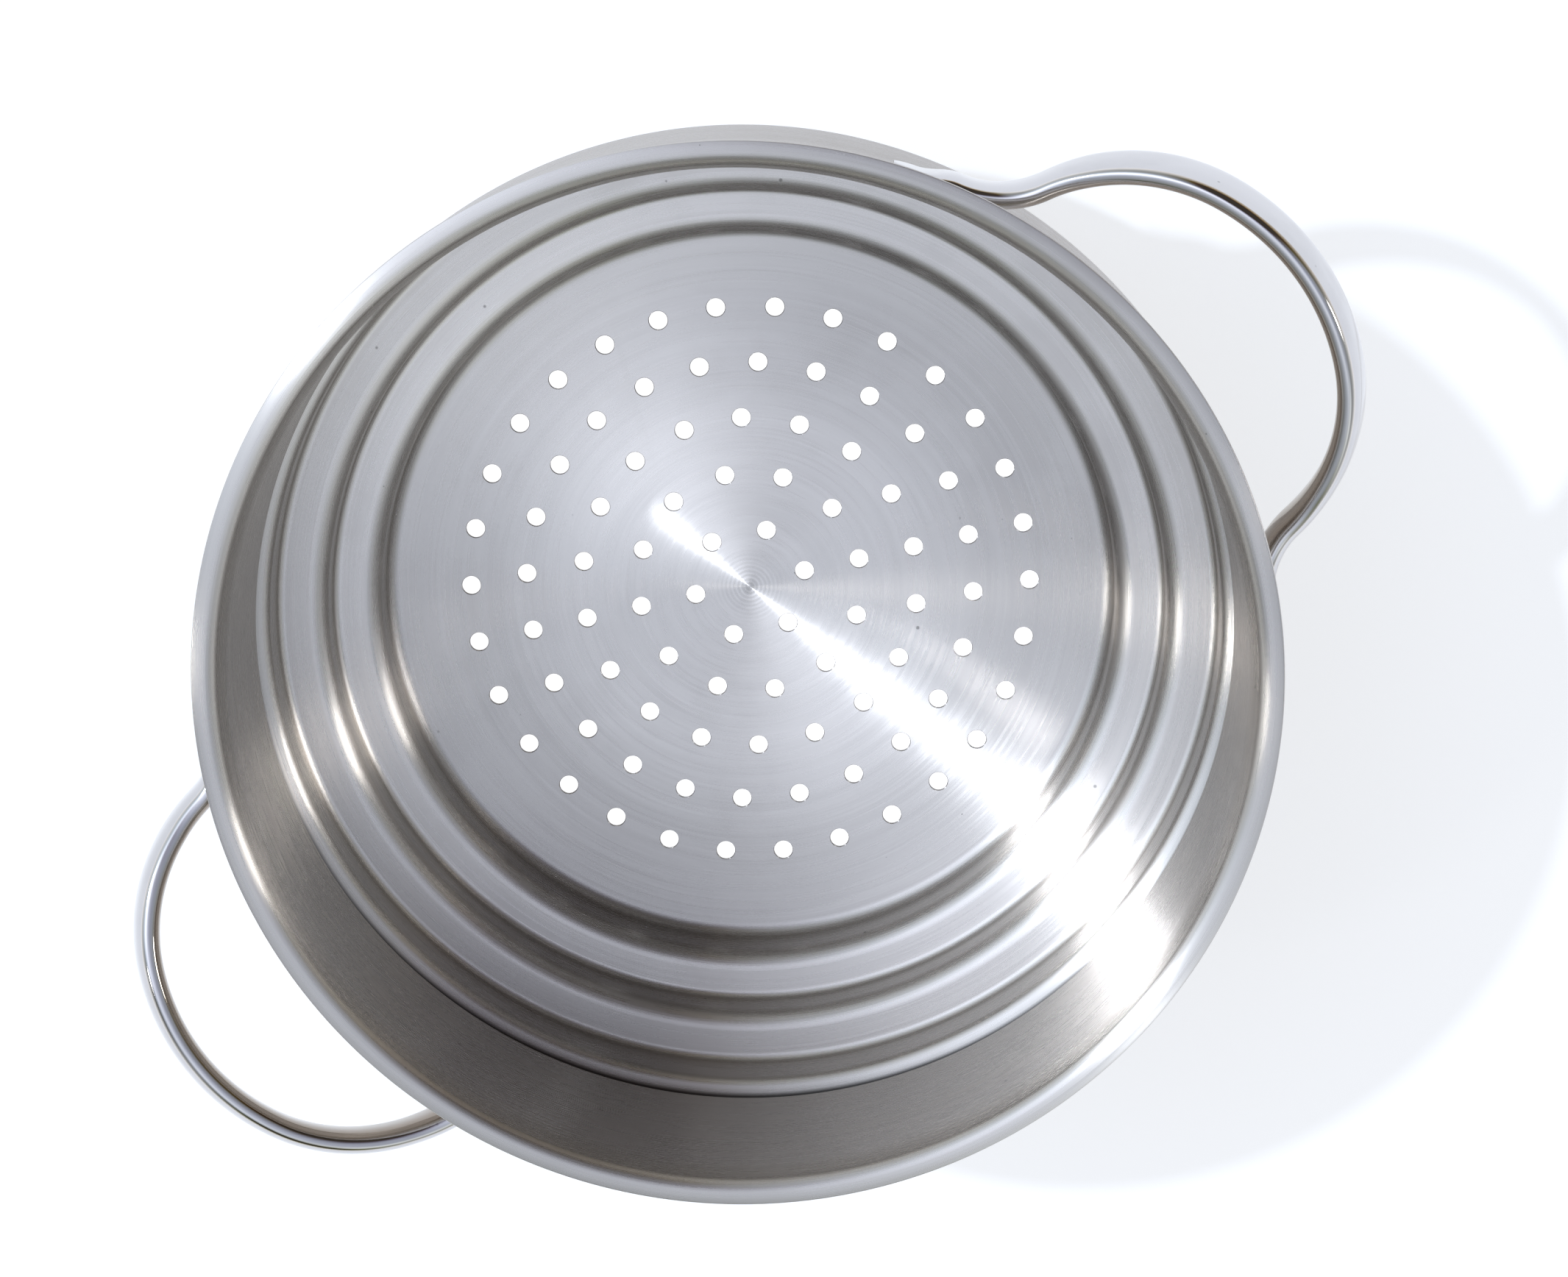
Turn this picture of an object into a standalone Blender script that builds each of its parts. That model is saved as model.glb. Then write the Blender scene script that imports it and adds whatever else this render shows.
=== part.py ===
# Stepped pasta and steamer insert for 160, 180 and 200 mm pots.
# A perforated stainless vessel drawn from one sheet, with two loop handles welded to its wall.
# Base down on Z = 0, mouth open to +Z, handles along X. Lengths are in metres.

import math

import bmesh
import bpy
from mathutils import Matrix, Vector

MM = 0.001

# Sheet, and the gap left between pieces that touch
SHEET = 0.8 * MM
SEAT_GAP = 0.3 * MM

# Vessel, along its inner face from the floor up and out
FLOOR_RADIUS = 78.1 * MM
RISER_1 = 13.8 * MM
LEDGE_1 = 10.0 * MM
RISER_2 = 11.4 * MM
LEDGE_2 = 10.4 * MM
RISER_3 = 12.3 * MM
BEAD_REACH = 4.7 * MM
BEAD_RISE = 1.7 * MM
BEAD_RETURN = 5.3 * MM
WALL_STEP = 1.85 * MM
WALL_HEIGHT = 32.0 * MM
CONE_HEIGHT = 11.5 * MM
CONE_REACH = 1.8 * MM
LIP_RADIUS = 5.4 * MM
LIP_LEAN = math.radians(75.0)

# Bend radii on the inner face
FLOOR_FILLET = 2.0 * MM
LEDGE_EDGE = 2.4 * MM
LEDGE_CORNER = 1.4 * MM
BEAD_MOUTH = 2.4 * MM
BEAD_FOLD = 0.8 * MM
BEAD_ROOT = 0.6 * MM
CONE_BEND = 20.0 * MM

# Perforations: ring n holds n times the first ring's holes
HOLE_DIAMETER = 4.0 * MM
RING_PITCH = 12.0 * MM
FIRST_RING_HOLES = 6
PLAIN_MARGIN = 9.0 * MM
PATTERN_TURN = math.radians(36.5)

# Handle loop in plan, on the strap's centre line
LOOP_REACH = 35.5 * MM
TIP_RADIUS = 48.8 * MM
TIP_HALF_ANGLE = math.radians(24.5)
SHOULDER_RADIUS = 36.9 * MM
NECK_RADIUS = 20.8 * MM

# Upward tilt of the loop
LOOP_TILT = math.radians(17.9)
TILT_BLEND = 9.0 * MM
FOOT_BELOW_CONE = 6.8 * MM

# Strap, and its flattened feet
STRAP_WIDTH = 13.0 * MM
STRAP_THICKNESS = 5.1 * MM
STRAP_SQUARENESS = 2.6
FOOT_LENGTH = 13.0 * MM
FOOT_THICKNESS = 3.0 * MM
FOOT_SQUARENESS = 4.0
FOOT_NOSE = 5.0 * MM

# Facets
TURN_STEPS = 70
BEND_STEP = math.radians(45.0)
LIP_STEPS = 3
HOLE_SIDES = 10
LOOP_STEP = math.radians(10.0)
FOOT_STEPS = 6
STRAP_SIDES = 14

# Levels and radii that several pieces share
WALL_RADIUS = FLOOR_RADIUS + LEDGE_1 + LEDGE_2 + WALL_STEP
WALL_OUTSIDE = WALL_RADIUS + SHEET
LEDGE_1_LEVEL = RISER_1
LEDGE_2_LEVEL = LEDGE_1_LEVEL + RISER_2
BEAD_LEVEL = LEDGE_2_LEVEL + RISER_3
WALL_FOOT = BEAD_LEVEL + BEAD_RISE + BEAD_RETURN
CONE_LEVEL = WALL_FOOT + WALL_HEIGHT
FOOT_LEVEL = CONE_LEVEL - FOOT_BELOW_CONE
LANDING_RADIUS = WALL_OUTSIDE + SEAT_GAP + STRAP_THICKNESS / 2


def clear_scene():
    for item in list(bpy.data.objects):
        bpy.data.objects.remove(item, do_unlink=True)


def steel(name, colour, roughness):
    material = bpy.data.materials.new(name)
    material.use_nodes = True
    shader = material.node_tree.nodes["Principled BSDF"]
    shader.inputs["Base Color"].default_value = (*colour, 1.0)
    shader.inputs["Metallic"].default_value = 1.0
    shader.inputs["Roughness"].default_value = roughness
    return material


def new_object(name, shape):
    bmesh.ops.recalc_face_normals(shape, faces=shape.faces[:])
    mesh = bpy.data.meshes.new(name)
    shape.to_mesh(mesh)
    shape.free()
    piece = bpy.data.objects.new(name, mesh)
    bpy.context.collection.objects.link(piece)
    return piece


def finish(piece, material, sharp_angle):
    piece.data.materials.append(material)
    piece.data.shade_smooth()
    piece.data.set_sharp_from_angle(angle=sharp_angle)


def polar(radius, angle):
    return Vector((radius * math.cos(angle), radius * math.sin(angle)))


def blend(share):
    # Smooth step from 0 to 1
    share = min(max(share, 0.0), 1.0)
    return share * share * (3.0 - 2.0 * share)


# Sheet profile: a station is a point on the inner face and the normal through the sheet

def sheet_normal(heading):
    # The outside of the sheet lies to the right of the way the profile runs
    return polar(1.0, heading - math.pi / 2)


def bend(before, corner, after, radius):
    # Stations on the arc that rounds a corner, tangent to both of its legs
    heading = math.atan2(corner.y - before.y, corner.x - before.x)
    next_heading = math.atan2(after.y - corner.y, after.x - corner.x)
    turn = math.remainder(next_heading - heading, math.tau)
    hand = math.copysign(1.0, turn)
    trim = radius * math.tan(abs(turn) / 2)
    start = corner + (before - corner).normalized() * trim
    centre = start - sheet_normal(heading) * radius * hand
    count = math.ceil(abs(turn) / BEND_STEP)
    stations = []
    for index in range(count + 1):
        normal = sheet_normal(heading + turn * index / count)
        stations.append((centre + normal * radius * hand, normal))
    return stations


def lip():
    # One arc, tangent to the cone above the wall, that folds the lip outward
    rising = math.atan2(CONE_HEIGHT, CONE_REACH)
    lying = math.pi / 2 - LIP_LEAN
    start = Vector((WALL_RADIUS + CONE_REACH, CONE_LEVEL + CONE_HEIGHT))
    centre = start + sheet_normal(rising) * LIP_RADIUS
    stations = []
    for index in range(LIP_STEPS + 1):
        normal = sheet_normal(rising + (lying - rising) * index / LIP_STEPS)
        stations.append((centre - normal * LIP_RADIUS, normal))
    return stations


def sheet_profile():
    # Inner face from the floor's edge to the lip, round the lip, and back down the outside
    ledge_1_end = FLOOR_RADIUS + LEDGE_1
    ledge_2_end = ledge_1_end + LEDGE_2
    corners = [
        (0.0, 0.0, 0.0),
        (FLOOR_RADIUS, 0.0, FLOOR_FILLET),
        (FLOOR_RADIUS, LEDGE_1_LEVEL, LEDGE_EDGE),
        (ledge_1_end, LEDGE_1_LEVEL, LEDGE_CORNER),
        (ledge_1_end, LEDGE_2_LEVEL, LEDGE_EDGE),
        (ledge_2_end, LEDGE_2_LEVEL, LEDGE_CORNER),
        (ledge_2_end, BEAD_LEVEL, BEAD_MOUTH),
        (ledge_2_end + BEAD_REACH, BEAD_LEVEL + BEAD_RISE, BEAD_FOLD),
        (WALL_RADIUS, WALL_FOOT, BEAD_ROOT),
        (WALL_RADIUS, CONE_LEVEL, CONE_BEND),
        (WALL_RADIUS + CONE_REACH, CONE_LEVEL + CONE_HEIGHT, 0.0),
    ]
    points = [Vector(corner[:2]) for corner in corners]
    stations = []
    for index in range(1, len(corners) - 1):
        stations += bend(points[index - 1], points[index], points[index + 1], corners[index][2])
    stations += lip()
    inside = [point for point, normal in stations]
    outside = [point + normal * SHEET for point, normal in stations]
    edge_tangent = (inside[-1] - inside[-2]).normalized()
    edge = (inside[-1] + outside[-1]) / 2 + edge_tangent * SHEET * 0.4
    return inside + [edge] + outside[::-1]


def turned_vessel():
    # The profile turned once round the axis, with the floor closed on both faces
    shape = bmesh.new()
    ring = [shape.verts.new((point.x, 0.0, point.y + SHEET)) for point in sheet_profile()]
    edges = [shape.edges.new(pair) for pair in zip(ring, ring[1:])]
    bmesh.ops.spin(shape, geom=ring + edges, axis=(0, 0, 1), cent=(0, 0, 0),
                   steps=TURN_STEPS, angle=math.tau, use_merge=True)
    bmesh.ops.remove_doubles(shape, verts=shape.verts[:], dist=0.01 * MM)
    rims = [edge for edge in shape.edges if edge.is_boundary]
    bmesh.ops.holes_fill(shape, edges=rims, sides=0)
    return new_object("vessel", shape)


def punch_cylinders():
    # One cutter for every perforation, in rings that stop short of the floor's fillet
    flat_radius = FLOOR_RADIUS - FLOOR_FILLET
    rings = int((flat_radius - PLAIN_MARGIN - HOLE_DIAMETER / 2) / RING_PITCH)
    shape = bmesh.new()
    for ring in range(1, rings + 1):
        count = ring * FIRST_RING_HOLES
        for index in range(count):
            place = polar(ring * RING_PITCH, PATTERN_TURN + math.tau * index / count)
            bmesh.ops.create_cone(shape, cap_ends=True, segments=HOLE_SIDES,
                                  radius1=HOLE_DIAMETER / 2, radius2=HOLE_DIAMETER / 2,
                                  depth=SHEET * 4,
                                  matrix=Matrix.Translation((place.x, place.y, SHEET / 2)))
    cutter = new_object("punches", shape)
    cutter.hide_render = True
    cutter.display_type = "WIRE"
    return cutter


def make_vessel(material):
    vessel = turned_vessel()
    finish(vessel, material, math.radians(50))
    perforate = vessel.modifiers.new("perforate", "BOOLEAN")
    perforate.operation = "DIFFERENCE"
    perforate.solver = "EXACT"
    perforate.object = punch_cylinders()


# Handle strap: a station is a point in plan, the angle its outer face looks, and its section

def loop_arc(centre, radius, start, end):
    # A negative radius bends the other way, with the outer face towards the centre
    count = math.ceil(abs(end - start) / LOOP_STEP)
    stations = []
    for index in range(count):
        angle = start + (end - start) * index / count
        section = (STRAP_THICKNESS, STRAP_WIDTH, STRAP_SQUARENESS)
        stations.append((centre + polar(radius, angle), angle, section))
    return stations


def foot_arc(landing_angle):
    # The foot thins as it follows the wall, its inner face on the seat, and ends in a round nose
    stations = []
    for index in range(FOOT_STEPS + 1):
        share = index / FOOT_STEPS
        along = FOOT_LENGTH * share
        flat = blend(1.6 * share)
        thickness = STRAP_THICKNESS + (FOOT_THICKNESS - STRAP_THICKNESS) * flat
        squareness = STRAP_SQUARENESS + (FOOT_SQUARENESS - STRAP_SQUARENESS) * flat
        nose = max(0.0, along - FOOT_LENGTH + FOOT_NOSE) / FOOT_NOSE
        width = STRAP_WIDTH * math.sqrt(1.0 - 0.88 * nose * nose)
        angle = landing_angle + along / LANDING_RADIUS
        radius = WALL_OUTSIDE + SEAT_GAP + thickness / 2
        stations.append((polar(radius, angle), angle, (thickness, width, squareness)))
    return stations


def half_loop():
    # From the tip round the shoulder and the reverse bend at the neck, on to the foot
    tip_centre = Vector((WALL_OUTSIDE + LOOP_REACH - TIP_RADIUS, 0.0))
    shoulder_centre = tip_centre + polar(TIP_RADIUS - SHOULDER_RADIUS, TIP_HALF_ANGLE)
    neck_orbit = LANDING_RADIUS + NECK_RADIUS
    reach = shoulder_centre.length
    between = SHOULDER_RADIUS + NECK_RADIUS
    cosine = (neck_orbit ** 2 + reach ** 2 - between ** 2) / (2 * neck_orbit * reach)
    landing_angle = math.atan2(shoulder_centre.y, shoulder_centre.x) + math.acos(cosine)
    neck_centre = polar(neck_orbit, landing_angle)
    across = neck_centre - shoulder_centre
    shoulder_end = math.atan2(across.y, across.x)
    stations = loop_arc(tip_centre, TIP_RADIUS, 0.0, TIP_HALF_ANGLE)
    stations += loop_arc(shoulder_centre, SHOULDER_RADIUS, TIP_HALF_ANGLE, shoulder_end)
    stations += loop_arc(neck_centre, -NECK_RADIUS, shoulder_end, landing_angle)
    return stations + foot_arc(landing_angle)


def tilt_at(reach):
    # Height gained and slope of the loop's plane, which bends up as it leaves the wall
    slope = math.tan(LOOP_TILT)
    run = reach - LANDING_RADIUS
    if run >= TILT_BLEND:
        return run * slope, LOOP_TILT
    started = max(0.0, run + TILT_BLEND)
    rise = slope * started ** 2 / (4 * TILT_BLEND)
    return rise, math.atan(slope * started / (2 * TILT_BLEND))


def rounded(value, squareness):
    # One coordinate of a superellipse, from the cosine or sine of its angle
    return math.copysign(abs(value) ** (2 / squareness), value)


def strap_ring(shape, station, side):
    point, angle, (thickness, width, squareness) = station
    rise, tilt = tilt_at(point.x)
    centre = Vector((point.x, point.y * side, SHEET + FOOT_LEVEL + rise))
    outward = Vector((math.cos(angle) * math.cos(tilt), math.sin(angle) * side,
                      math.cos(angle) * math.sin(tilt)))
    upward = Vector((-math.sin(tilt), 0.0, math.cos(tilt)))
    ring = []
    for index in range(STRAP_SIDES):
        turn = math.tau * index / STRAP_SIDES
        depth = rounded(math.cos(turn), squareness) * thickness / 2
        height = rounded(math.sin(turn), squareness) * width / 2
        ring.append(shape.verts.new(centre + outward * depth + upward * height))
    return ring


def make_handle(name, turn, material):
    shape = bmesh.new()
    half = half_loop()
    rings = [strap_ring(shape, station, -1) for station in half[:0:-1]]
    rings += [strap_ring(shape, station, 1) for station in half]
    for ring, following in zip(rings, rings[1:]):
        for index in range(STRAP_SIDES):
            after = (index + 1) % STRAP_SIDES
            shape.faces.new((ring[index], ring[after], following[after], following[index]))
    shape.faces.new(rings[0])
    shape.faces.new(rings[-1])
    handle = new_object(name, shape)
    handle.rotation_euler.z = turn
    finish(handle, material, math.radians(60))


def main():
    clear_scene()
    satin = steel("satin_steel", (0.60, 0.59, 0.60), 0.30)
    polished = steel("polished_steel", (0.74, 0.73, 0.71), 0.08)
    make_vessel(satin)
    make_handle("handle_right", 0.0, polished)
    make_handle("handle_left", math.pi, polished)


main()
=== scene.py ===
import math

import bmesh
import bpy
from mathutils import Matrix, Vector


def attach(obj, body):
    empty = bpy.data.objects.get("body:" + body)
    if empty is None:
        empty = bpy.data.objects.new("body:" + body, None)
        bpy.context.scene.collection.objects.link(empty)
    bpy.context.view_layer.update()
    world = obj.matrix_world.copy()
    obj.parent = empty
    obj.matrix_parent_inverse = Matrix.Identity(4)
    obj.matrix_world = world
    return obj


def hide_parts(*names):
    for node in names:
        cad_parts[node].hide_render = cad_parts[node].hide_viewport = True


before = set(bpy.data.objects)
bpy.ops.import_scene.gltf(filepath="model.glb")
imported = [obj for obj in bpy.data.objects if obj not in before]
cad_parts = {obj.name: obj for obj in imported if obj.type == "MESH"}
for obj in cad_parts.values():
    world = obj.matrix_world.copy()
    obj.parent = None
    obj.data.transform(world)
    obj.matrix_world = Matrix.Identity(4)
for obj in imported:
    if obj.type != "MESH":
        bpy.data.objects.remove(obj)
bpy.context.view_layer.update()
mm = 0.001

# the insert stands on its base, the mouth up, the handles along X


def polar(radius, angle):
    return Vector((radius * math.cos(angle), radius * math.sin(angle)))


def newPiece(name, shape, materials):
    bmesh.ops.recalc_face_normals(shape, faces=shape.faces[:])
    mesh = bpy.data.meshes.new(name)
    shape.to_mesh(mesh)
    shape.free()
    for material in materials:
        mesh.materials.append(material)
    piece = bpy.data.objects.new(name, mesh)
    bpy.context.scene.collection.objects.link(piece)
    return piece


def joinRings(shape, rings):
    # a skin from ring to ring, closed at both ends
    for ring, following in zip(rings, rings[1:]):
        for index in range(len(ring)):
            after = (index + 1) % len(ring)
            shape.faces.new((ring[index], ring[after], following[after], following[index]))
    shape.faces.new(rings[0])
    shape.faces.new(rings[-1])


def smooth(piece, sharpDegrees):
    piece.data.shade_smooth()
    piece.data.set_sharp_from_angle(angle=math.radians(sharpDegrees))


def bakeModifiers(piece):
    view = bpy.context.evaluated_depsgraph_get()
    mesh = bpy.data.meshes.new_from_object(piece.evaluated_get(view))
    piece.modifiers.clear()
    piece.data = mesh


# camera, at the photograph's place

camera = {
    "place": (140.3, 145.6, 923.3),  # mm
    "turn": (-12.931, 1.201, -36.365),  # degrees, XYZ
    "lens": 100.83,
    "sensor": 36.0,
    "nearest": 0.05,  # m
    "furthest": 50.0,
}


def makeCamera():
    data = bpy.data.cameras.new("camera")
    data.lens = camera["lens"]
    data.sensor_width = camera["sensor"]
    data.clip_start = camera["nearest"]
    data.clip_end = camera["furthest"]
    eye = bpy.data.objects.new("camera", data)
    eye.location = Vector(camera["place"]) * mm
    eye.rotation_euler = [math.radians(angle) for angle in camera["turn"]]
    bpy.context.scene.collection.objects.link(eye)
    bpy.context.scene.camera = eye
    print("camera set")


# vessel: one sheet, turned. All its lengths are in mm, along the inside of the sheet

vessel = {
    "sheet": 0.8,
    "floorRadius": 78.1,
    "riser1": 13.8,
    "ledge1": 10.0,
    "riser2": 11.4,
    "ledge2": 10.4,
    "riser3": 12.3,
    "beadReach": 4.7,
    "beadRise": 1.7,
    "beadReturn": 5.3,
    "wallStep": 1.85,
    "wallHeight": 42.6,
    "coneHeight": 3.3,
    "coneReach": 1.24,
    "coneBend": 20.0,
    "lipRadius": 2.9,
    "lipLean": 88.0,  # degrees from upright
    "lipFlat": 1.97,
    "floorFillet": 2.8,
    "ledgeEdge": 4.0,
    "ledgeCorner": 1.7,
    "beadMouth": 2.4,
    "beadFold": 0.8,
    "beadRoot": 0.6,
    "edgeTurns": (0.6, 1.1),  # radians, points that round the lip's cut edge
    "edgeRound": 0.4,
    "bendStep": 9.0,  # degrees of bend between two rings
    "lipRings": 14,
    "turnSteps": 288,
    "smoothAngle": 30,  # degrees
}

holes = {
    "width": 4.0,  # mm
    "pitch": 12.0,
    "firstRing": 6,
    "rings": 5,
    "turn": 36.5,  # degrees, against the handles
    "sides": 32,
    "burr": 0.12,  # softened edge
    "punchReach": 0.5,  # how far the punch goes past the sheet
    "offCentre": (0.55, 0.75),  # mm, the punch sits a little off the turning axis
}


def wallRadius():
    return vessel["floorRadius"] + vessel["ledge1"] + vessel["ledge2"] + vessel["wallStep"]


def sheetNormal(heading):
    return polar(1.0, heading - math.pi / 2)


def bend(before, corner, after, radius):
    # points and normals round one bend of the sheet
    heading = math.atan2(corner.y - before.y, corner.x - before.x)
    nextHeading = math.atan2(after.y - corner.y, after.x - corner.x)
    turn = math.remainder(nextHeading - heading, math.tau)
    hand = math.copysign(1.0, turn)
    start = corner + (before - corner).normalized() * radius * math.tan(abs(turn) / 2)
    centre = start - sheetNormal(heading) * radius * hand
    count = math.ceil(abs(turn) / math.radians(vessel["bendStep"]))
    stations = []
    for index in range(count + 1):
        normal = sheetNormal(heading + turn * index / count)
        stations.append((centre + normal * radius * hand, normal))
    return stations


def sheetProfile():
    v = vessel
    wall = wallRadius()
    corners = [(0.0, 0.0, 0.0), (v["floorRadius"], 0.0, v["floorFillet"])]
    x, z = v["floorRadius"], v["riser1"]
    corners.append((x, z, v["ledgeEdge"]))
    x += v["ledge1"]
    corners.append((x, z, v["ledgeCorner"]))
    z += v["riser2"]
    corners.append((x, z, v["ledgeEdge"]))
    x += v["ledge2"]
    corners.append((x, z, v["ledgeCorner"]))
    z += v["riser3"]
    corners.append((x, z, v["beadMouth"]))
    z += v["beadRise"]
    corners.append((x + v["beadReach"], z, v["beadFold"]))
    z += v["beadReturn"]
    corners.append((wall, z, v["beadRoot"]))
    z += v["wallHeight"]
    corners.append((wall, z, v["coneBend"]))
    corners.append((wall + v["coneReach"], z + v["coneHeight"], 0.0))
    points = [Vector(corner[:2]) for corner in corners]
    stations = []
    for index in range(1, len(corners) - 1):
        stations += bend(points[index - 1], points[index], points[index + 1], corners[index][2])
    rising = math.atan2(v["coneHeight"], v["coneReach"])
    lying = math.radians(90 - v["lipLean"])
    centre = points[-1] + sheetNormal(rising) * v["lipRadius"]
    for index in range(v["lipRings"] + 1):
        normal = sheetNormal(rising + (lying - rising) * index / v["lipRings"])
        stations.append((centre - normal * v["lipRadius"], normal))
    edge, normal = stations[-1]
    stations.append((edge + polar(v["lipFlat"], lying), normal))
    inside = [point for point, normal in stations]
    outside = [point + normal * v["sheet"] for point, normal in stations]
    along = (inside[-1] - inside[-2]).normalized()
    middle = (inside[-1] + outside[-1]) / 2
    across = (outside[-1] - inside[-1]) / 2
    early = v["edgeTurns"]
    turns = [*early, math.pi / 2, *(math.pi - turn for turn in reversed(early))]
    proud = along * v["sheet"] * v["edgeRound"]
    lip = [middle - across * math.cos(turn) + proud * math.sin(turn) for turn in turns]
    return inside + lip + outside[::-1]


def turnProfile(profile, steps, lift):
    shape = bmesh.new()
    rings = []
    for point in profile:
        ring = []
        for step in range(steps):
            place = polar(point.x, math.tau * step / steps)
            ring.append(shape.verts.new((place.x * mm, place.y * mm, (point.y + lift) * mm)))
        rings.append(ring)
    joinRings(shape, rings)
    return shape


def makePunches():
    h = holes
    burr = h["burr"]
    top = vessel["sheet"]
    radius = h["width"] / 2
    reach = h["punchReach"]
    outline = [(radius + burr + reach, -reach), (radius + burr, 0.0), (radius, burr),
               (radius, top - burr), (radius + burr, top), (radius + burr + reach, top + reach)]
    shape = bmesh.new()
    for ring in range(1, h["rings"] + 1):
        count = ring * h["firstRing"]
        for index in range(count):
            centre = polar(ring * h["pitch"], math.radians(h["turn"]) + math.tau * index / count)
            centre += Vector(h["offCentre"])
            levels = []
            for r, z in outline:
                level = []
                for side in range(h["sides"]):
                    place = centre + polar(r, math.tau * side / h["sides"])
                    level.append(shape.verts.new((place.x * mm, place.y * mm, z * mm)))
                levels.append(level)
            joinRings(shape, levels)
    return newPiece("punches", shape, [])


def makeVessel(material):
    shape = turnProfile(sheetProfile(), vessel["turnSteps"], vessel["sheet"])
    piece = newPiece("vesselBody", shape, [material])
    punches = makePunches()
    cut = piece.modifiers.new("perforate", "BOOLEAN")
    cut.operation = "DIFFERENCE"
    cut.solver = "EXACT"
    cut.object = punches
    bakeModifiers(piece)
    bpy.data.objects.remove(punches)
    smooth(piece, vessel["smoothAngle"])
    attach(piece, "root")
    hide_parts("vessel")
    print("vessel turned and perforated:", len(piece.data.polygons), "faces")
    return piece


# handles: polished strap, bent in plan and tilted up

handle = {
    "reach": 35.5,  # mm, out from the wall
    "tipRadius": 48.8,
    "tipHalfAngle": 24.5,  # degrees
    "shoulderRadius": 36.9,
    "neckRadius": 20.8,
    "tilt": 17.9,  # degrees
    "tiltBlend": 9.0,
    "footLevel": 70.5,
    "width": 13.0,
    "thickness": 5.1,
    "squareness": 2.6,
    "footLength": 13.0,
    "footThickness": 3.0,
    "footSquareness": 4.0,
    "footNose": 5.0,
    "footHurry": 1.6,  # the strap is flat before the foot's end
    "noseTaper": 0.88,
    "seatGap": 0.3,
    "bendStep": 2.0,  # degrees
    "footSteps": 30,
    "sides": 56,
    "smoothAngle": 50,  # degrees
}


def blendShare(share):
    share = min(max(share, 0.0), 1.0)
    return share * share * (3 - 2 * share)


def halfLoop(wallOutside, landing):
    # three arcs from the tip to the wall, then the foot along the wall
    h = handle
    strap = (h["thickness"], h["width"], h["squareness"])
    tipAngle = math.radians(h["tipHalfAngle"])
    tipCentre = Vector((wallOutside + h["reach"] - h["tipRadius"], 0.0))
    shoulderCentre = tipCentre + polar(h["tipRadius"] - h["shoulderRadius"], tipAngle)
    orbit = landing + h["neckRadius"]
    out = shoulderCentre.length
    between = h["shoulderRadius"] + h["neckRadius"]
    spread = math.acos((orbit ** 2 + out ** 2 - between ** 2) / (2 * orbit * out))
    landingAngle = math.atan2(shoulderCentre.y, shoulderCentre.x) + spread
    neckCentre = polar(orbit, landingAngle)
    across = neckCentre - shoulderCentre
    shoulderEnd = math.atan2(across.y, across.x)
    arcs = [
        (tipCentre, h["tipRadius"], 0.0, tipAngle),
        (shoulderCentre, h["shoulderRadius"], tipAngle, shoulderEnd),
        (neckCentre, -h["neckRadius"], shoulderEnd, landingAngle),
    ]
    stations = []
    for centre, radius, start, end in arcs:
        count = math.ceil(abs(end - start) / math.radians(h["bendStep"]))
        for index in range(count):
            angle = start + (end - start) * index / count
            stations.append((centre + polar(radius, angle), angle, strap))
    for index in range(h["footSteps"] + 1):
        share = index / h["footSteps"]
        flat = blendShare(h["footHurry"] * share)
        thickness = h["thickness"] + (h["footThickness"] - h["thickness"]) * flat
        squareness = h["squareness"] + (h["footSquareness"] - h["squareness"]) * flat
        nose = max(0.0, h["footLength"] * (share - 1) + h["footNose"]) / h["footNose"]
        width = h["width"] * math.sqrt(1 - h["noseTaper"] * nose * nose)
        angle = landingAngle + h["footLength"] * share / landing
        radius = wallOutside + h["seatGap"] + thickness / 2
        stations.append((polar(radius, angle), angle, (thickness, width, squareness)))
    return stations


def tiltAt(reach, landing):
    # rise and tilt of the strap, which starts level at its feet
    slope = math.tan(math.radians(handle["tilt"]))
    ease = handle["tiltBlend"]
    run = reach - landing
    if run >= ease:
        return run * slope, math.radians(handle["tilt"])
    started = max(0.0, run + ease)
    return slope * started ** 2 / (4 * ease), math.atan(slope * started / (2 * ease))


def rounded(value, squareness):
    return math.copysign(abs(value) ** (2 / squareness), value)


def makeHandle(name, node, turn, material):
    h = handle
    wallOutside = wallRadius() + vessel["sheet"]
    landing = wallOutside + h["seatGap"] + h["thickness"] / 2
    half = halfLoop(wallOutside, landing)
    shape = bmesh.new()
    rings = []
    walk = [(station, -1) for station in half[:0:-1]] + [(station, 1) for station in half]
    for (point, angle, (thickness, width, squareness)), side in walk:
        rise, tilt = tiltAt(point.x, landing)
        centre = Vector((point.x, point.y * side, h["footLevel"] + rise))
        outward = Vector((math.cos(angle) * math.cos(tilt), math.sin(angle) * side,
                          math.cos(angle) * math.sin(tilt)))
        upward = Vector((-math.sin(tilt), 0.0, math.cos(tilt)))
        ring = []
        for index in range(h["sides"]):
            around = math.tau * index / h["sides"]
            depth = rounded(math.cos(around), squareness) * thickness / 2
            height = rounded(math.sin(around), squareness) * width / 2
            ring.append(shape.verts.new((centre + outward * depth + upward * height) * mm))
        rings.append(ring)
    joinRings(shape, rings)
    shape.transform(Matrix.Rotation(turn, 4, "Z"))
    piece = newPiece(name, shape, [material])
    smooth(piece, h["smoothAngle"])
    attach(piece, "root")
    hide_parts(node)
    print(name, "bent:", len(piece.data.polygons), "faces")
    return piece


# node helpers

def addNode(tree, kind, **settings):
    node = tree.nodes.new(kind)
    for key, value in settings.items():
        setattr(node, key, value)
    return node


def plug(tree, source, target):
    # a socket is linked, anything else is set
    if isinstance(source, bpy.types.NodeSocket):
        tree.links.new(source, target)
    else:
        target.default_value = source


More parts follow.
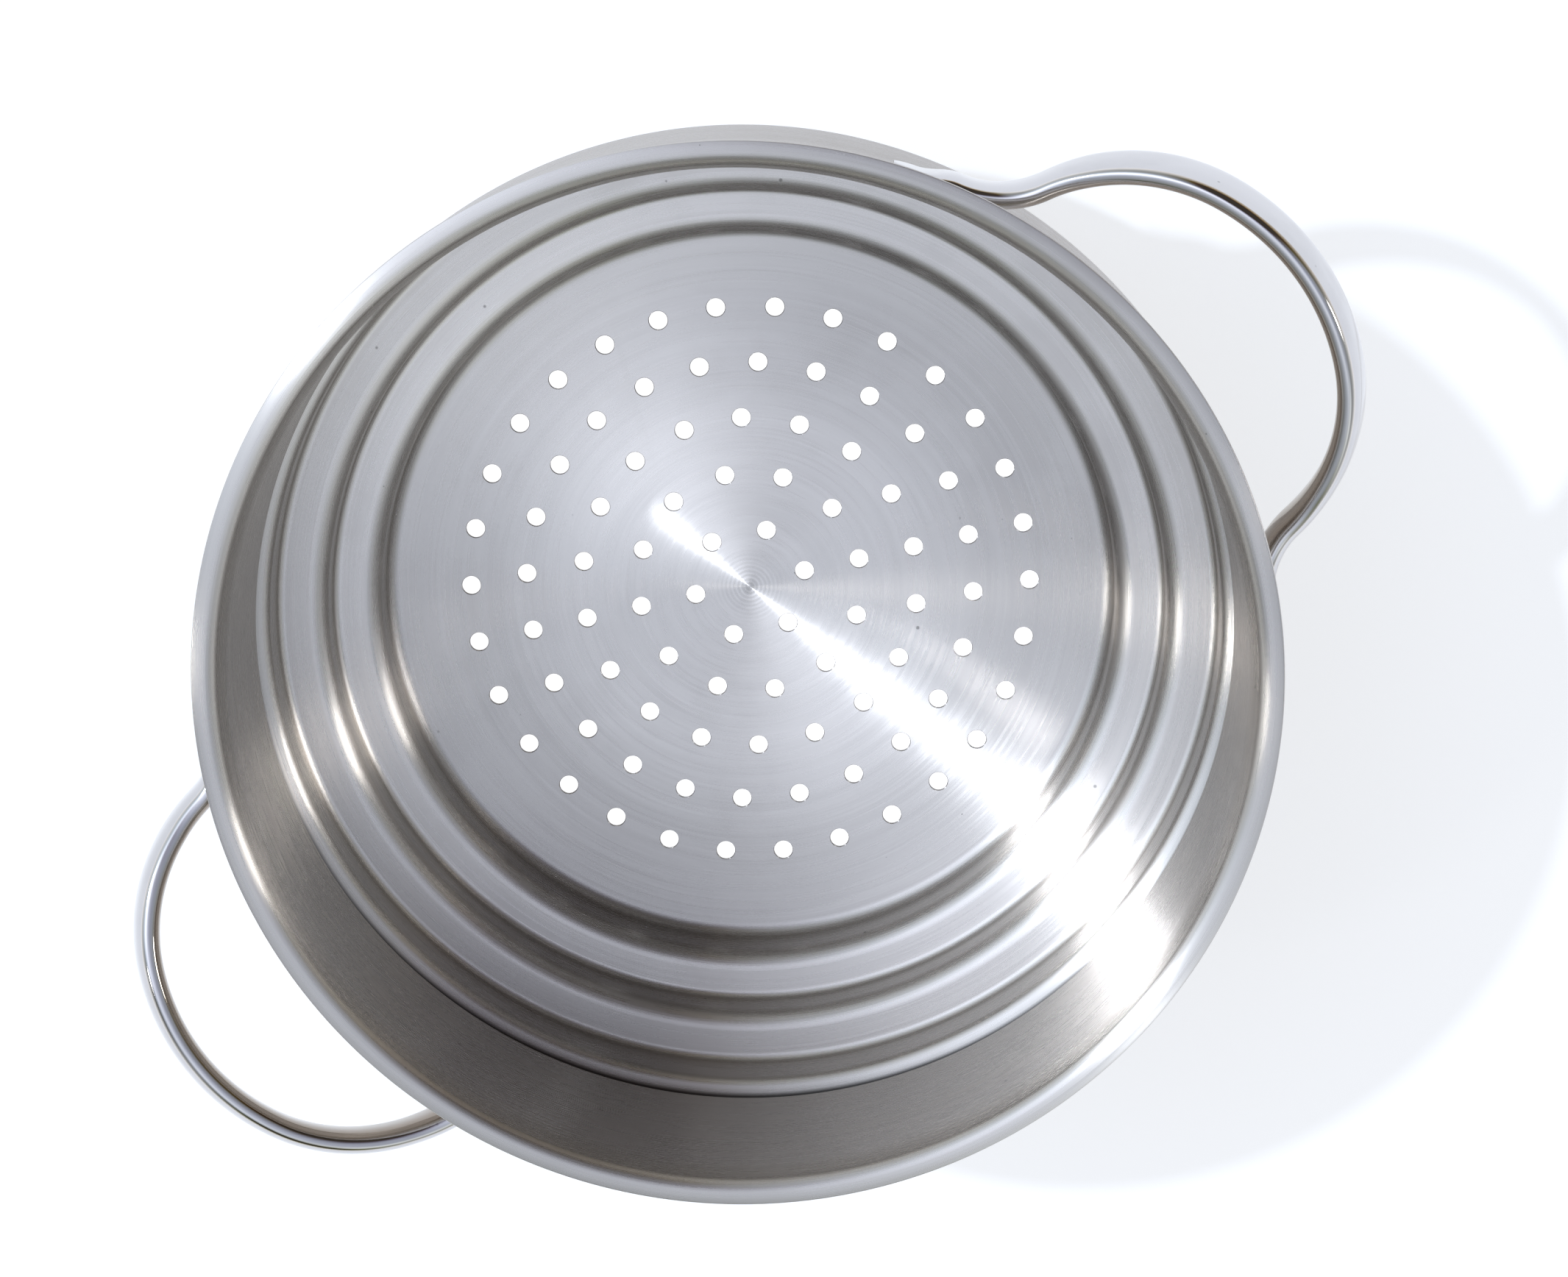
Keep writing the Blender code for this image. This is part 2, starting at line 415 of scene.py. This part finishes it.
def mathNode(tree, operation, first, second=None, third=None):
    node = addNode(tree, "ShaderNodeMath", operation=operation)
    for value, socket in zip((first, second, third), node.inputs):
        if value is not None:
            plug(tree, value, socket)
    return node.outputs[0]


def spread(tree, value, low, high, newLow=0.0, newHigh=1.0, kind="LINEAR"):
    node = addNode(tree, "ShaderNodeMapRange", interpolation_type=kind)
    for name, given in (("Value", value), ("From Min", low), ("From Max", high),
                        ("To Min", newLow), ("To Max", newHigh)):
        plug(tree, given, node.inputs[name])
    return node.outputs["Result"]


def joinXyz(tree, x, y, z):
    node = addNode(tree, "ShaderNodeCombineXYZ")
    for value, socket in zip((x, y, z), node.inputs):
        plug(tree, value, socket)
    return node.outputs[0]


def noise(tree, vector, scale, detail=2.0, rough=0.5, stretch=0.0):
    node = addNode(tree, "ShaderNodeTexNoise")
    plug(tree, vector, node.inputs["Vector"])
    plug(tree, scale, node.inputs["Scale"])
    node.inputs["Detail"].default_value = detail
    node.inputs["Roughness"].default_value = rough
    node.inputs["Distortion"].default_value = stretch
    return node.outputs["Fac"]


def shaded(tree, tone, mask, amount):
    # tone times 1 + amount where the mask is 1
    return mathNode(tree, "MULTIPLY", tone, mathNode(tree, "MULTIPLY_ADD", mask, amount, 1.0))


def bump(tree, height, depth, below=None, invert=False):
    node = addNode(tree, "ShaderNodeBump", invert=invert)
    node.inputs["Distance"].default_value = depth
    plug(tree, height, node.inputs["Height"])
    if below is not None:
        plug(tree, below, node.inputs["Normal"])
    return node.outputs["Normal"]


def tinted(tree, colour, tint, mask, tone):
    # the steel's colour, tinted by the mask and scaled by the tone; here tint and tone carry painted shade, light
    # and reflection as well as wear
    tinting = addNode(tree, "ShaderNodeVectorMath", operation="MULTIPLY_ADD")
    plug(tree, mask, tinting.inputs[0])
    tinting.inputs[1].default_value = [channel - 1 for channel in tint]
    tinting.inputs[2].default_value = (1, 1, 1)
    steel = addNode(tree, "ShaderNodeVectorMath", operation="MULTIPLY")
    plug(tree, tinting.outputs[0], steel.inputs[0])
    steel.inputs[1].default_value = colour
    shade = addNode(tree, "ShaderNodeVectorMath", operation="SCALE")
    plug(tree, steel.outputs[0], shade.inputs[0])
    plug(tree, tone, shade.inputs["Scale"])
    return shade.outputs[0]


def newMetal(name):
    material = bpy.data.materials.new(name)
    material.use_nodes = True
    tree = material.node_tree
    shader = tree.nodes["Principled BSDF"]
    shader.inputs["Metallic"].default_value = 1.0
    return material, tree, shader


def newGroup(name, inputs, outputs):
    group = bpy.data.node_groups.new(name, "ShaderNodeTree")
    for label, kind, value in inputs:
        socket = group.interface.new_socket(name=label, in_out="INPUT", socket_type=kind)
        if value is not None:
            socket.default_value = value
    for label, kind in outputs:
        group.interface.new_socket(name=label, in_out="OUTPUT", socket_type=kind)
    return group, addNode(group, "NodeGroupInput").outputs, addNode(group, "NodeGroupOutput").inputs


def placeGroup(tree, group, **values):
    node = addNode(tree, "ShaderNodeGroup", node_tree=group)
    for key, value in values.items():
        plug(tree, value, node.inputs[key])
    return node.outputs


# wear that both finishes share

def scratchGroup():
    # thin random scratches: the zero line of a stretched noise, broken up by a second noise
    group, given, made = newGroup(
        "scratches",
        [("Vector", "NodeSocketVector", None), ("Scale", "NodeSocketFloat", 60.0),
         ("Width", "NodeSocketFloat", 0.01), ("Amount", "NodeSocketFloat", 0.4)],
        [("Mask", "NodeSocketFloat")])
    layers = []
    for turn, stretch in ((0.5, (1.0, 0.12, 1.0)), (1.7, (1.0, 0.2, 1.0)), (2.6, (1.0, 0.08, 1.0))):
        place = addNode(group, "ShaderNodeMapping")
        place.inputs["Rotation"].default_value = (0, 0, turn)
        place.inputs["Scale"].default_value = stretch
        place.inputs["Location"].default_value = (turn * 7, turn * 3, turn)
        plug(group, given["Vector"], place.inputs["Vector"])
        wander = noise(group, place.outputs[0], given["Scale"], 1.0)
        line = mathNode(group, "ABSOLUTE", mathNode(group, "SUBTRACT", wander, 0.5))
        thin = spread(group, line, 0.0, given["Width"], 1.0, 0.0)
        patches = mathNode(group, "MULTIPLY", given["Scale"], 0.45 + turn * 0.1)
        gate = noise(group, given["Vector"], patches, 1.0)
        limit = mathNode(group, "SUBTRACT", 0.85, mathNode(group, "MULTIPLY", given["Amount"], 0.5))
        shown = spread(group, gate, limit, mathNode(group, "ADD", limit, 0.06))
        layers.append(mathNode(group, "MULTIPLY", thin, shown))
    both = mathNode(group, "MAXIMUM", layers[0], layers[1])
    plug(group, mathNode(group, "MAXIMUM", both, layers[2]), made["Mask"])
    return group


def smudgeGroup():
    # soft cloudy patches left by hands and wiping
    group, given, made = newGroup(
        "smudges",
        [("Vector", "NodeSocketVector", None), ("Scale", "NodeSocketFloat", 20.0)],
        [("Mask", "NodeSocketFloat")])
    broad = noise(group, given["Vector"], given["Scale"], 3.0, 0.6, 0.4)
    fine = noise(group, given["Vector"], mathNode(group, "MULTIPLY", given["Scale"], 7.0), 2.0, 0.6)
    mixed = mathNode(group, "ADD", mathNode(group, "MULTIPLY", broad, 0.75),
                     mathNode(group, "MULTIPLY", fine, 0.25))
    plug(group, spread(group, mixed, 0.42, 0.66, 0.0, 1.0, "SMOOTHSTEP"), made["Mask"])
    return group


def speckGroup():
    # pinhead marks and dust
    group, given, made = newGroup(
        "specks",
        [("Vector", "NodeSocketVector", None), ("Scale", "NodeSocketFloat", 260.0),
         ("Share", "NodeSocketFloat", 0.1)],
        [("Mask", "NodeSocketFloat")])
    cells = addNode(group, "ShaderNodeTexVoronoi", feature="F1")
    plug(group, given["Vector"], cells.inputs["Vector"])
    plug(group, given["Scale"], cells.inputs["Scale"])
    pick = addNode(group, "ShaderNodeSeparateColor")
    plug(group, cells.outputs["Color"], pick.inputs[0])
    chosen = mathNode(group, "LESS_THAN", pick.outputs[0], given["Share"])
    size = mathNode(group, "MULTIPLY", pick.outputs[1], 0.22)
    dot = spread(group, cells.outputs["Distance"], mathNode(group, "MULTIPLY", size, 0.5), size, 1.0, 0.0)
    plug(group, mathNode(group, "MULTIPLY", chosen, dot), made["Mask"])
    return group


def brushGroup():
    # brushing in circles: lines that follow the turn, from the axis out and up the wall
    group, given, made = newGroup(
        "latheBrushing",
        [("Vector", "NodeSocketVector", None), ("Lines", "NodeSocketFloat", 1600.0),
         ("Arc", "NodeSocketFloat", 3.0), ("Seed", "NodeSocketFloat", 0.0)],
        [("Value", "NodeSocketFloat")])
    parts = addNode(group, "ShaderNodeSeparateXYZ")
    plug(group, given["Vector"], parts.inputs[0])
    x, y, z = parts.outputs
    squares = mathNode(group, "ADD", mathNode(group, "MULTIPLY", x, x), mathNode(group, "MULTIPLY", y, y))
    radius = mathNode(group, "SQRT", squares)
    safe = mathNode(group, "MAXIMUM", radius, 0.0001)  # no division by zero on the axis
    along = mathNode(group, "ADD", radius, mathNode(group, "MULTIPLY", z, 1.37))  # closer lines on the wall
    line = mathNode(group, "MULTIPLY", along, given["Lines"])
    ax = mathNode(group, "MULTIPLY", mathNode(group, "DIVIDE", x, safe), given["Arc"])
    ay = mathNode(group, "MULTIPLY", mathNode(group, "DIVIDE", y, safe), given["Arc"])
    place = joinXyz(group, line, mathNode(group, "ADD", ax, given["Seed"]), ay)
    plug(group, noise(group, place, 1.0, 2.0, 0.6), made["Value"])
    return group


def placeWear(tree, groups, place, finish):
    smudges = placeGroup(tree, groups["smudges"], Vector=place, Scale=finish["smudgeScale"])
    scratches = placeGroup(tree, groups["scratches"], Vector=place, Scale=finish["scratchScale"],
                           Width=finish["scratchWidth"], Amount=finish["scratchAmount"])
    specks = placeGroup(tree, groups["specks"], Vector=place, Scale=finish["speckScale"],
                        Share=finish["speckShare"])
    return smudges["Mask"], scratches["Mask"], specks["Mask"]


satin = {
    "colour": (0.61, 0.59, 0.575),
    "floorRoughness": 0.26,
    "sideRoughness": 0.27,
    "anisotropy": 1.0,
    "glareTurn": 0.25,  # of a turn, so that glare runs across the lines
    "fineLines": 2600.0,  # per metre
    "hairLines": 1500.0,
    "broadLines": 380.0,
    "fineArc": 1.8,
    "hairArc": 1.4,
    "broadArc": 0.7,
    "fineDepth": 0.00001,  # m
    "broadDepth": 0.000012,
    "lineRoughness": 0.50,
    "toneSpan": 0.13,
    "ringRange": (0.3, 0.7),
    "hairRange": (0.35, 0.65),
    "ringShare": 0.45,  # broad turned rings against fine hairs
    "hairShare": 0.55,
    # the middle, flat and side tones below are painted light and shade, matched to the photograph's brightness
    "middlePaintedLight": 0.22,  # painted light: lighter toward the middle of the floor
    "middleFade": (0.030, 0.062),  # m from the axis, as are the next two
    "flatPaintedLight": 0.20,  # painted light: lighter ledges
    "flatStart": (0.079, 0.081),
    "flatEnd": (0.1015, 0.1005),
    "sidePaintedShade": (0.71, 0.685, 0.655),  # painted shade: darker and browner upright faces inside
    "sideLean": (0.35, 0.8),  # upright to level, by the normal's Z
    "sideChange": (-0.0025, 0.0005),  # m from the floor's edge
    "smudge": 0.02,
    "smudgeScale": 24.0,
    "scratchScale": 90.0,
    "scratchWidth": 0.004,
    "scratchAmount": 0.15,
    "scratchShade": 0.22,
    "scratchDepth": 0.00001,
    "speckScale": 420.0,
    "speckShare": 0.02,
    "speckShade": 0.5,
    "toolMark": 0.0019,  # m, rough spot on the axis
    "toolPits": 2600.0,
    "toolShade": 0.4,
    "toolRings": 0.009,  # coarser grooves round it
    "toolPitch": 0.0009,
    "toolTone": 0.08,
    "toolDepth": 0.00001,
    "foldPaintedShade": 0.85,  # painted shade deep in the bead's fold
    "foldStart": (0.1012, 0.1020),
    "foldLevel": 0.0405,
    "foldLean": (0.3, 0.5),
}


def satinSteel(groups):
    s = satin
    material, tree, shader = newMetal("satinSteel")
    shader.inputs["Anisotropic"].default_value = s["anisotropy"]
    shader.inputs["Anisotropic Rotation"].default_value = s["glareTurn"]
    around = addNode(tree, "ShaderNodeTangent", direction_type="RADIAL", axis="Z")
    plug(tree, around.outputs["Tangent"], shader.inputs["Tangent"])
    place = addNode(tree, "ShaderNodeTexCoord").outputs["Object"]

    def brushed(name, seed):
        return placeGroup(tree, groups["brush"], Vector=place, Lines=s[name + "Lines"],
                          Arc=s[name + "Arc"], Seed=seed)["Value"]

    fine, broad, sparse = brushed("fine", 0.0), brushed("broad", 5.0), brushed("hair", 9.0)
    smudges, scratches, specks = placeWear(tree, groups, place, s)

    # tone: faint turned rings, darker scratches and specks
    rings = spread(tree, broad, *s["ringRange"], -1.0, 1.0)
    hairs = spread(tree, sparse, *s["hairRange"], -1.0, 1.0)
    mixed = mathNode(tree, "ADD", mathNode(tree, "MULTIPLY", rings, s["ringShare"]),
                     mathNode(tree, "MULTIPLY", hairs, s["hairShare"]))
    tone = mathNode(tree, "MULTIPLY_ADD", mixed, s["toneSpan"] / 2, 1.0)
    tone = shaded(tree, tone, scratches, -s["scratchShade"])
    tone = shaded(tree, tone, specks, -s["speckShade"])

    # tool mark on the axis, with a few coarser grooves round it
    flat = addNode(tree, "ShaderNodeVectorMath", operation="MULTIPLY")
    plug(tree, place, flat.inputs[0])
    flat.inputs[1].default_value = (1, 1, 0)
    length = addNode(tree, "ShaderNodeVectorMath", operation="LENGTH")
    plug(tree, flat.outputs[0], length.inputs[0])
    radius = length.outputs["Value"]
    spot = spread(tree, radius, s["toolMark"], s["toolMark"] * 0.5)
    pits = mathNode(tree, "MULTIPLY", spot, noise(tree, place, s["toolPits"], 2.0, 0.7))
    tone = shaded(tree, tone, pits, -s["toolShade"])
    groove = mathNode(tree, "SINE", mathNode(tree, "MULTIPLY", radius, math.tau / s["toolPitch"]))
    grooves = mathNode(tree, "MULTIPLY", groove, spread(tree, radius, s["toolRings"], s["toolMark"]))
    tone = shaded(tree, tone, grooves, s["toolTone"])

    # painted light: the floor lighter toward its middle
    middle = spread(tree, radius, *s["middleFade"], 1 + s["middlePaintedLight"], 1.0, "SMOOTHSTEP")
    tone = mathNode(tree, "MULTIPLY", tone, middle)

    # painted shade on the upright faces inside, painted light on the flats
    facing = addNode(tree, "ShaderNodeSeparateXYZ")
    geometry = addNode(tree, "ShaderNodeNewGeometry")
    plug(tree, geometry.outputs["Normal"], facing.inputs[0])
    level = mathNode(tree, "ABSOLUTE", facing.outputs["Z"])
    upright = spread(tree, level, *s["sideLean"], 1.0, 0.0, "SMOOTHSTEP")
    inward = addNode(tree, "ShaderNodeVectorMath", operation="DOT_PRODUCT")
    plug(tree, flat.outputs[0], inward.inputs[0])
    plug(tree, geometry.outputs["Normal"], inward.inputs[1])
    upright = mathNode(tree, "MULTIPLY", upright, mathNode(tree, "LESS_THAN", inward.outputs["Value"], 0.0))
    flats = mathNode(tree, "MULTIPLY", spread(tree, radius, *s["flatStart"]), spread(tree, radius, *s["flatEnd"]))
    flats = mathNode(tree, "MULTIPLY", flats, mathNode(tree, "SUBTRACT", 1.0, upright))
    tone = shaded(tree, tone, flats, s["flatPaintedLight"])

    # painted shade deep in the fold of the bead
    parts = addNode(tree, "ShaderNodeSeparateXYZ")
    plug(tree, place, parts.inputs[0])
    fold = spread(tree, radius, *s["foldStart"])
    fold = mathNode(tree, "MULTIPLY", fold, mathNode(tree, "LESS_THAN", parts.outputs["Z"], s["foldLevel"]))
    fold = mathNode(tree, "MULTIPLY", fold, spread(tree, facing.outputs["Z"], *s["foldLean"]))
    tone = shaded(tree, tone, fold, -s["foldPaintedShade"])
    # the steel's colour, with the painted shade of the upright faces inside and the painted tones
    plug(tree, tinted(tree, s["colour"], s["sidePaintedShade"], upright, tone), shader.inputs["Base Color"])

    # roughness follows each line, and smudges dull it
    edge = vessel["floorRadius"] * mm
    change = [edge + step for step in s["sideChange"]]
    zone = spread(tree, radius, *change, s["floorRoughness"], s["sideRoughness"], "SMOOTHSTEP")
    offset = mathNode(tree, "SUBTRACT", sparse, 0.5)
    varied = mathNode(tree, "MULTIPLY_ADD", offset, s["lineRoughness"], 1.0)
    rough = mathNode(tree, "MULTIPLY", zone, varied)
    rough = mathNode(tree, "MULTIPLY_ADD", smudges, s["smudge"], rough)
    plug(tree, rough, shader.inputs["Roughness"])

    # height
    relief = bump(tree, fine, s["fineDepth"])
    relief = bump(tree, broad, s["broadDepth"], relief)
    relief = bump(tree, scratches, s["scratchDepth"], relief, invert=True)
    relief = bump(tree, mathNode(tree, "ADD", grooves, pits), s["toolDepth"], relief)
    plug(tree, relief, shader.inputs["Normal"])
    return material


polished = {
    "colour": (0.62, 0.61, 0.62),
    "roughness": 0.06,
    "smudge": 0.06,
    "smudgeScale": 45.0,
    "smudgeShade": 0.05,
    "scratchScale": 160.0,
    "scratchWidth": 0.008,
    "scratchAmount": 0.2,
    "scratchRoughness": 0.2,
    "speckScale": 500.0,
    "speckShare": 0.04,
    "speckShade": 0.3,
    "innerPaintedReflection": (0.50, 0.43, 0.35),  # painted reflection of the dark wall: darker and browner toward the wall, matched to the photograph
    "innerLean": (-0.3, -0.7),
    "loopMiddle": 0.110,  # m, from the axis
    "scratchDepth": 0.00001,  # m
    "waveScale": 120.0,
    "waveDepth": 0.00006,
}


def polishedSteel(groups):
    p = polished
    material, tree, shader = newMetal("polishedSteel")
    place = addNode(tree, "ShaderNodeTexCoord").outputs["Object"]
    smudges, scratches, specks = placeWear(tree, groups, place, p)
    tone = mathNode(tree, "MULTIPLY_ADD", smudges, -p["smudgeShade"], 1.0)
    tone = shaded(tree, tone, specks, -p["speckShade"])

    # painted reflection of the dark vessel wall on the inner side of each loop
    spot = addNode(tree, "ShaderNodeSeparateXYZ")
    plug(tree, place, spot.inputs[0])
    facing = addNode(tree, "ShaderNodeSeparateXYZ")
    plug(tree, addNode(tree, "ShaderNodeNewGeometry").outputs["Normal"], facing.inputs[0])
    side = mathNode(tree, "SIGN", spot.outputs["X"])
    out = mathNode(tree, "SUBTRACT", mathNode(tree, "ABSOLUTE", spot.outputs["X"]), p["loopMiddle"])
    away = addNode(tree, "ShaderNodeVectorMath", operation="NORMALIZE")
    plug(tree, joinXyz(tree, out, spot.outputs["Y"], 0.0), away.inputs[0])
    towards = addNode(tree, "ShaderNodeVectorMath", operation="DOT_PRODUCT")
    plug(tree, away.outputs[0], towards.inputs[0])
    turned = mathNode(tree, "MULTIPLY", facing.outputs["X"], side)
    plug(tree, joinXyz(tree, turned, facing.outputs["Y"], 0.0), towards.inputs[1])
    inner = spread(tree, towards.outputs["Value"], *p["innerLean"], 0.0, 1.0, "SMOOTHSTEP")
    plug(tree, tinted(tree, p["colour"], p["innerPaintedReflection"], inner, tone), shader.inputs["Base Color"])

    rough = mathNode(tree, "MULTIPLY_ADD", smudges, p["smudge"], p["roughness"])
    rough = mathNode(tree, "MULTIPLY_ADD", scratches, p["scratchRoughness"], rough)
    plug(tree, rough, shader.inputs["Roughness"])
    relief = bump(tree, noise(tree, place, p["waveScale"], 1.0), p["waveDepth"])
    relief = bump(tree, scratches, p["scratchDepth"], relief, invert=True)
    plug(tree, relief, shader.inputs["Normal"])
    return material


# studio: pale floor, a gradient of soft light with panels and flags in it, and three lamps

studio = {
    "floorSize": 6.0,  # m
    "floorColour": (0.43, 0.455, 0.50),
    "floorLift": 0.63,  # white added for camera and mirror rays
    "floorRoughness": 0.9,
    "openDisc": 0.072,  # m, the floor below the base shows white through the holes
    "discEdge": 0.003,
    "darkest": (0.06, 0.05, 0.04),  # no part of the sky is darker
}

lamps = [  # name, turn from +X, height and width in degrees, strength, colour
    ("keyLamp", 121.0, 49.5, 2.5, 1.6, (0.94, 1.0, 1.08)),
    ("sideLamp", 160.0, 45.0, 6.0, 0.12, (1.04, 1.0, 0.95)),
    ("lowLamp", 330.0, 27.0, 11.0, 0.28, (1.0, 0.97, 0.92)),
]

# Most of these tones and panels are the rounded result of a least-squares fit of the light to the
# photograph's brightness. Given one by one, not fitted: the tones from 60 degrees up, the top panel, the left,
# top and low flags.

skyTones = [  # degrees above the horizon, colour
    (0, (1.30, 1.30, 1.30)),
    (12, (0.84, 0.85, 0.84)),
    (24, (0.49, 0.51, 0.50)),
    (36, (0.36, 0.37, 0.37)),
    (48, (0.42, 0.45, 0.48)),
    (60, (0.55, 0.59, 0.67)),
    (74, (0.72, 0.77, 0.90)),
    (90, (0.94, 1.01, 1.18)),
]

panels = [  # name, turn, height and half width in degrees, light added, or held back by a flag
    ("main panel", 120, 60, 30, (0.50, 0.55, 0.64)),
    ("main panel edge", 105, 60, 20, (0.33, 0.34, 0.39)),
    ("main panel top", 120, 75, 20, (0.46, 0.45, 0.50)),
    ("main panel foot", 120, 45, 45, (0.49, 0.58, 0.67)),
    ("large flag", 30, 60, 30, (-0.63, -0.72, -0.80)),
    ("large flag foot", 30, 30, 30, (-0.31, -0.38, -0.48)),
    ("second panel", 270, 45, 20, (0.34, 0.36, 0.36)),
    ("second panel edge", 255, 45, 30, (0.30, 0.30, 0.26)),
    ("top panel", 222, 70, 22, (0.30, 0.32, 0.32)),
    ("left flag", 165, 42, 25, (-0.26, -0.28, -0.30)),
    ("top flag", 322, 66, 24, (-0.16, -0.17, -0.18)),
    ("low flag", 12, 4, 62, (-0.50, -0.58, -0.68)),
    ("back flag right", 240, 30, 30, (-0.27, -0.27, -0.31)),
    ("back flag left", 225, 30, 30, (-0.25, -0.26, -0.30)),
    ("back flag foot", 225, 15, 45, (-0.24, -0.25, -0.30)),
]


def skyDirection(turn, height):
    turn, height = math.radians(turn), math.radians(height)
    return Vector((math.cos(height) * math.cos(turn), math.cos(height) * math.sin(turn), math.sin(height)))


def makeWorld():
    world = bpy.data.worlds.new("studio")
    bpy.context.scene.world = world
    world.use_nodes = True
    tree = world.node_tree
    look = addNode(tree, "ShaderNodeTexCoord").outputs["Generated"]
    parts = addNode(tree, "ShaderNodeSeparateXYZ")
    plug(tree, look, parts.inputs[0])
    height = mathNode(tree, "MULTIPLY", mathNode(tree, "ARCSINE", parts.outputs["Z"]), 2 / math.pi)
    ramp = addNode(tree, "ShaderNodeValToRGB")
    plug(tree, height, ramp.inputs["Fac"])
    stops = ramp.color_ramp.elements
    while len(stops) > 1:
        stops.remove(stops[-1])
    for index, (degrees, colour) in enumerate(skyTones):
        stop = stops[0] if index == 0 else stops.new(degrees / 90)
        stop.position = degrees / 90
        stop.color = (*colour, 1.0)
    light = ramp.outputs["Color"]
    for label, turn, up, width, colour in panels:
        facing = addNode(tree, "ShaderNodeVectorMath", operation="DOT_PRODUCT", label=label)
        plug(tree, look, facing.inputs[0])
        facing.inputs[1].default_value = skyDirection(turn, up)
        away = mathNode(tree, "ARCCOSINE", facing.outputs["Value"])
        share = spread(tree, away, math.radians(width), 0.0, 0.0, 1.0, "SMOOTHSTEP")
        panel = addNode(tree, "ShaderNodeVectorMath", operation="SCALE")
        panel.inputs[0].default_value = colour
        plug(tree, share, panel.inputs["Scale"])
        total = addNode(tree, "ShaderNodeVectorMath", operation="ADD")
        plug(tree, light, total.inputs[0])
        plug(tree, panel.outputs[0], total.inputs[1])
        light = total.outputs[0]
    darkest = addNode(tree, "ShaderNodeVectorMath", operation="MAXIMUM")
    plug(tree, light, darkest.inputs[0])
    darkest.inputs[1].default_value = studio["darkest"]
    plug(tree, darkest.outputs[0], tree.nodes["Background"].inputs["Color"])
    tree.nodes["Background"].inputs["Strength"].default_value = 1.0


def makeLamp(name, turn, height, width, strength, colour):
    data = bpy.data.lights.new(name, "SUN")
    data.angle = math.radians(width)
    data.energy = strength
    data.color = colour
    lamp = bpy.data.objects.new(name, data)
    toward = skyDirection(turn, height)
    lamp.rotation_euler = toward.to_track_quat("Z", "Y").to_euler()
    lamp.location = toward * 2
    bpy.context.scene.collection.objects.link(lamp)


def makeFloor():
    bpy.ops.mesh.primitive_plane_add(size=studio["floorSize"])
    floor = bpy.context.object
    floor.name = "floor"
    material = bpy.data.materials.new("floorWhite")
    material.use_nodes = True
    tree = material.node_tree
    shader = tree.nodes["Principled BSDF"]
    shader.inputs["Base Color"].default_value = (*studio["floorColour"], 1)
    shader.inputs["Roughness"].default_value = studio["floorRoughness"]
    shader.inputs["Specular IOR Level"].default_value = 0.0
    shader.inputs["Emission Color"].default_value = (1, 1, 1, 1)
    rays = addNode(tree, "ShaderNodeLightPath")
    seen = mathNode(tree, "MAXIMUM", rays.outputs["Is Camera Ray"], rays.outputs["Is Glossy Ray"])
    seen = mathNode(tree, "MAXIMUM", seen, rays.outputs["Is Transmission Ray"])
    place = addNode(tree, "ShaderNodeTexCoord").outputs["Object"]
    length = addNode(tree, "ShaderNodeVectorMath", operation="LENGTH")
    plug(tree, place, length.inputs[0])
    rim = studio["openDisc"] + studio["discEdge"]
    under = spread(tree, length.outputs["Value"], studio["openDisc"], rim, 1.0, 0.0)
    white = mathNode(tree, "MULTIPLY", under, rays.outputs["Is Camera Ray"])
    lift = mathNode(tree, "MULTIPLY", seen, studio["floorLift"])
    plug(tree, mathNode(tree, "MAXIMUM", lift, white), shader.inputs["Emission Strength"])
    floor.data.materials.append(material)


def makeStudio():
    makeWorld()
    for lamp in lamps:
        makeLamp(*lamp)
    makeFloor()
    print("studio set:", len(panels), "panels,", len(lamps), "lamps")


def main():
    bpy.context.scene.view_settings.view_transform = "Standard"
    makeCamera()
    groups = {"scratches": scratchGroup(), "smudges": smudgeGroup(),
              "specks": speckGroup(), "brush": brushGroup()}
    satinMetal = satinSteel(groups)
    polishedMetal = polishedSteel(groups)
    print("finishes mixed")
    makeVessel(satinMetal)
    makeHandle("rightHandle", "handle_right", 0.0, polishedMetal)
    makeHandle("leftHandle", "handle_left", math.pi, polishedMetal)
    makeStudio()


main()
